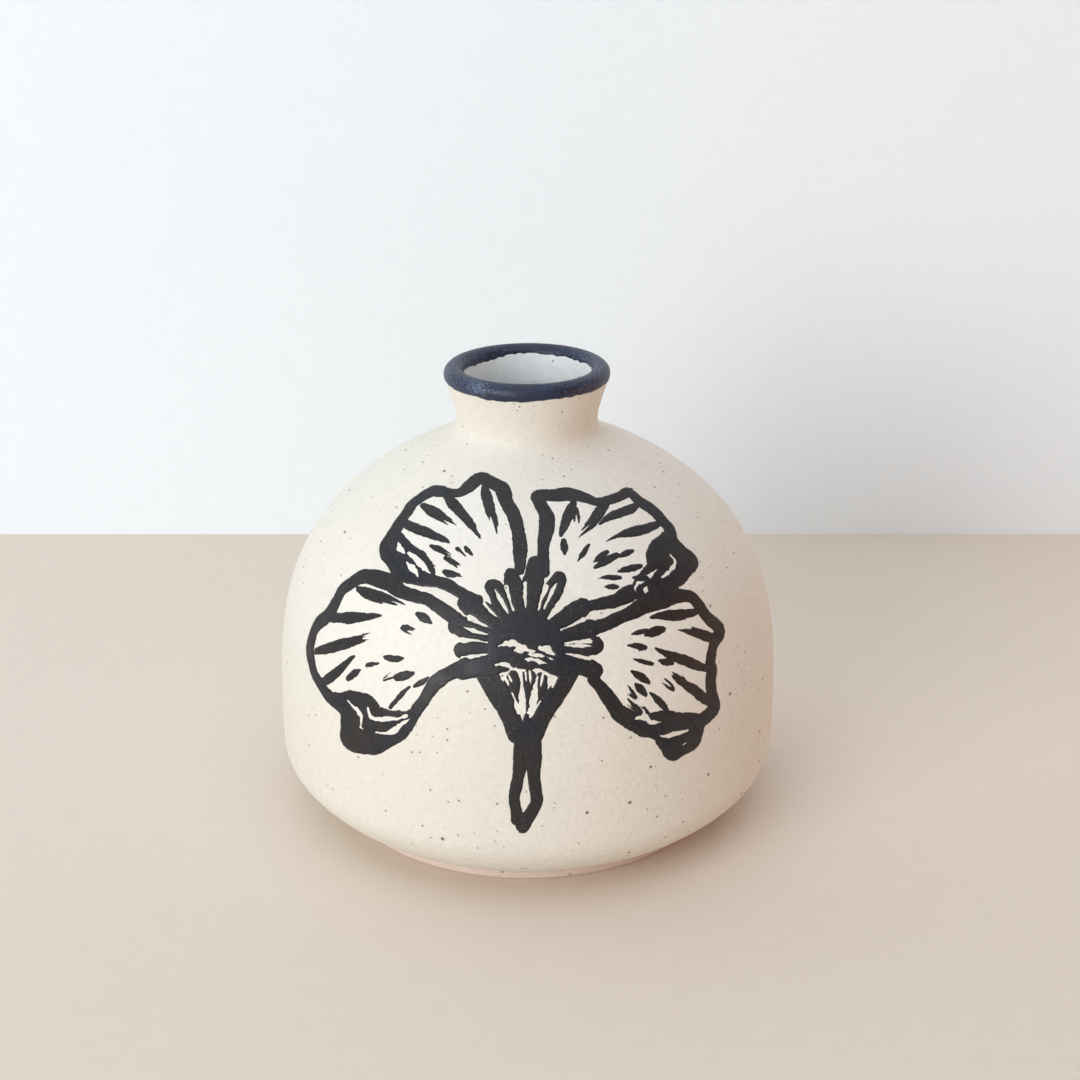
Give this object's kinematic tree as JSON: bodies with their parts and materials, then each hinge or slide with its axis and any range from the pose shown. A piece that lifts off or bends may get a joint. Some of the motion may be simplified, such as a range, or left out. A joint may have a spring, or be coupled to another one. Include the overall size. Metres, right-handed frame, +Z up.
{
  "type": "bud vase",
  "caption": "Squat domed stoneware bud vase with a short flared neck, dark painted lip and a brush-painted blossom on the front; stands on a turned foot ring.",
  "frame": {"origin": "centre of the foot on the surface that the vase stands on", "axes": "+Z up along the vase's own axis of turning, out of the mouth; the painted blossom faces -Y; +X is to the viewer's right"},
  "size_m": [0.11, 0.1102, 0.1],
  "materials": {
    "stoneware": "matte speckled stoneware under a thin dry glaze",
    "foot_clay": "unglazed, wiped stoneware",
    "liner_glaze": "satin liner glaze",
    "band_paint": "satin blue-black underglaze",
    "line_paint": "satin black underglaze, brushed",
    "petal_wash": "thin white wash"
  },
  "bodies": {
    "root": {"foot_ring": "foot_clay", "base_floor": "foot_clay", "body_wall": "stoneware", "neck_collar": "stoneware", "inner_glaze": "liner_glaze", "rim_band": "band_paint", "petal_wash": "petal_wash", "petal_outlines": "line_paint", "petal_veins": "line_paint", "stamens": "line_paint", "stem": "line_paint"}
  },
  "joints": []
}
